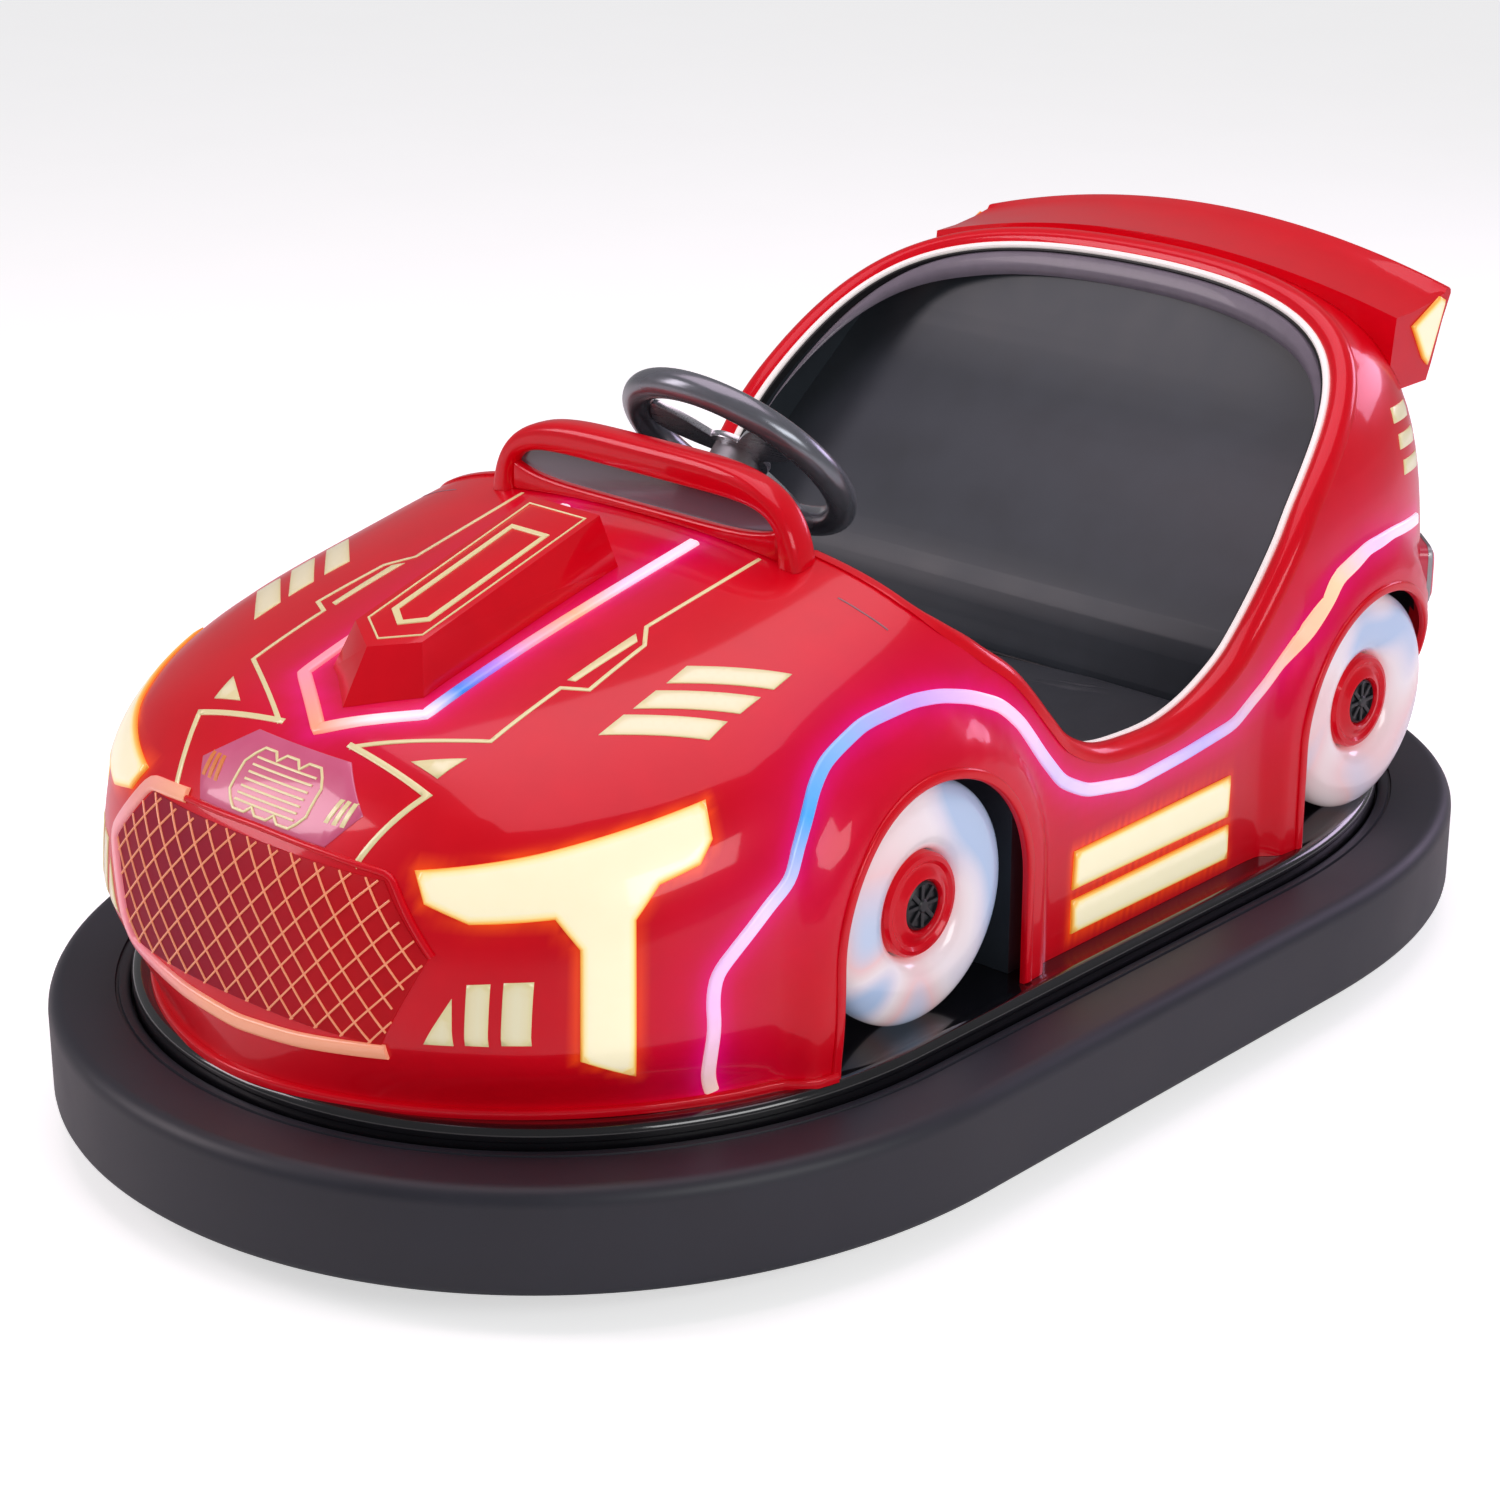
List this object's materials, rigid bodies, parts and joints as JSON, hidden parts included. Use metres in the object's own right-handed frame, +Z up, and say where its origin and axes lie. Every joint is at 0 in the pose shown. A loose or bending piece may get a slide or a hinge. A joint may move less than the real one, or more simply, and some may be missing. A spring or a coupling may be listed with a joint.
{
  "type": "bumper car",
  "caption": "Battery fairground bumper car: red glass-fibre body on a rubber-ringed pan, lit side wheels, and a tilted steering wheel coupled to a swivelling drive wheel underneath.",
  "frame": {"origin": "on the floor, under the middle of the rubber ring", "axes": "+Z up, -Y towards the car's nose, +X towards the car's left side"},
  "size_m": [1.184, 1.95, 0.833],
  "materials": {
    "frame_enamel": "satin",
    "battery_case": "matte",
    "red_gelcoat": "glossy",
    "bumper_rubber": "satin",
    "white_trim": "satin",
    "slate_tub": "satin",
    "smoked_screen": "glossy",
    "black_enamel": "glossy",
    "wheel_metal": "satin",
    "tyre_rubber": "matte",
    "grille_mesh": "glossy",
    "warm_lens": "glossy",
    "white_lens": "glossy",
    "badge_panel": "glossy",
    "grip": "satin",
    "bright_plate": "polished",
    "tail_lens": "glossy"
  },
  "bodies": {
    "car": {"accelerator_pedal": "frame_enamel", "battery_pack": "battery_case", "body_shell": "red_gelcoat", "bumper_ring": "bumper_rubber", "chassis_frame": "frame_enamel", "cockpit_rim": "red_gelcoat", "cockpit_trim": "white_trim", "cockpit_tub": "slate_tub", "cowl": "red_gelcoat", "cowl_screen": "smoked_screen", "deck_pan": "black_enamel", "grille": "grille_mesh", "headlight_left": "warm_lens", "headlight_right": "warm_lens", "hood_light_strip": "white_lens", "hood_scoop": "red_gelcoat", "nose_badge": "badge_panel", "rear_axle": "frame_enamel", "seat_cushion": "slate_tub", "side_light_strip_left": "white_lens", "side_light_strip_right": "white_lens", "side_wheel_front_left": "white_lens", "side_wheel_front_right": "white_lens", "side_wheel_hub_front_left": "red_gelcoat", "side_wheel_hub_front_right": "red_gelcoat", "side_wheel_hub_rear_left": "red_gelcoat", "side_wheel_hub_rear_right": "red_gelcoat", "side_wheel_rear_left": "white_lens", "side_wheel_rear_right": "white_lens", "sill_lamp_left": "warm_lens", "sill_lamp_right": "warm_lens", "spoiler": "red_gelcoat", "spoiler_lamp_left": "warm_lens", "spoiler_lamp_right": "warm_lens", "steering_column": "frame_enamel", "tail_lamp_left": "tail_lens", "tail_lamp_right": "tail_lens"},
    "steering_wheel": {"steering_rim": "grip", "steering_spokes": "bright_plate"},
    "drive_unit": {"drive_fork": "frame_enamel"},
    "drive_wheel": {"drive_tyre": "tyre_rubber", "drive_motor_hub": "wheel_metal"},
    "rear_left": {"rear_tyre_left": "tyre_rubber", "rear_wheel_left": "wheel_metal"},
    "rear_right": {"rear_tyre_right": "tyre_rubber", "rear_wheel_right": "wheel_metal"}
  },
  "joints": [
    {"name": "steering_turn", "type": "hinge", "parent": "car", "child": "steering_wheel", "pos_m": [0, -0.093, 0.69], "axis": [0, 0.7266, 0.6871], "continuous": true},
    {"name": "drive_swivel", "type": "hinge", "parent": "car", "child": "drive_unit", "pos_m": [0, -0.56, 0.1], "axis": [0, 0, 1], "continuous": true},
    {"name": "drive_spin", "type": "hinge", "parent": "drive_unit", "child": "drive_wheel", "pos_m": [0, -0.56, 0.08], "axis": [1, 0, 0], "continuous": true},
    {"name": "rear_left_spin", "type": "hinge", "parent": "car", "child": "rear_left", "pos_m": [0.34, 0.46, 0.07], "axis": [1, 0, 0], "continuous": true},
    {"name": "rear_right_spin", "type": "hinge", "parent": "car", "child": "rear_right", "pos_m": [-0.34, 0.46, 0.07], "axis": [1, 0, 0], "continuous": true}
  ],
  "couplings": [
    {"joint": "steering_turn", "follows": "drive_swivel", "ratio": 1}
  ]
}
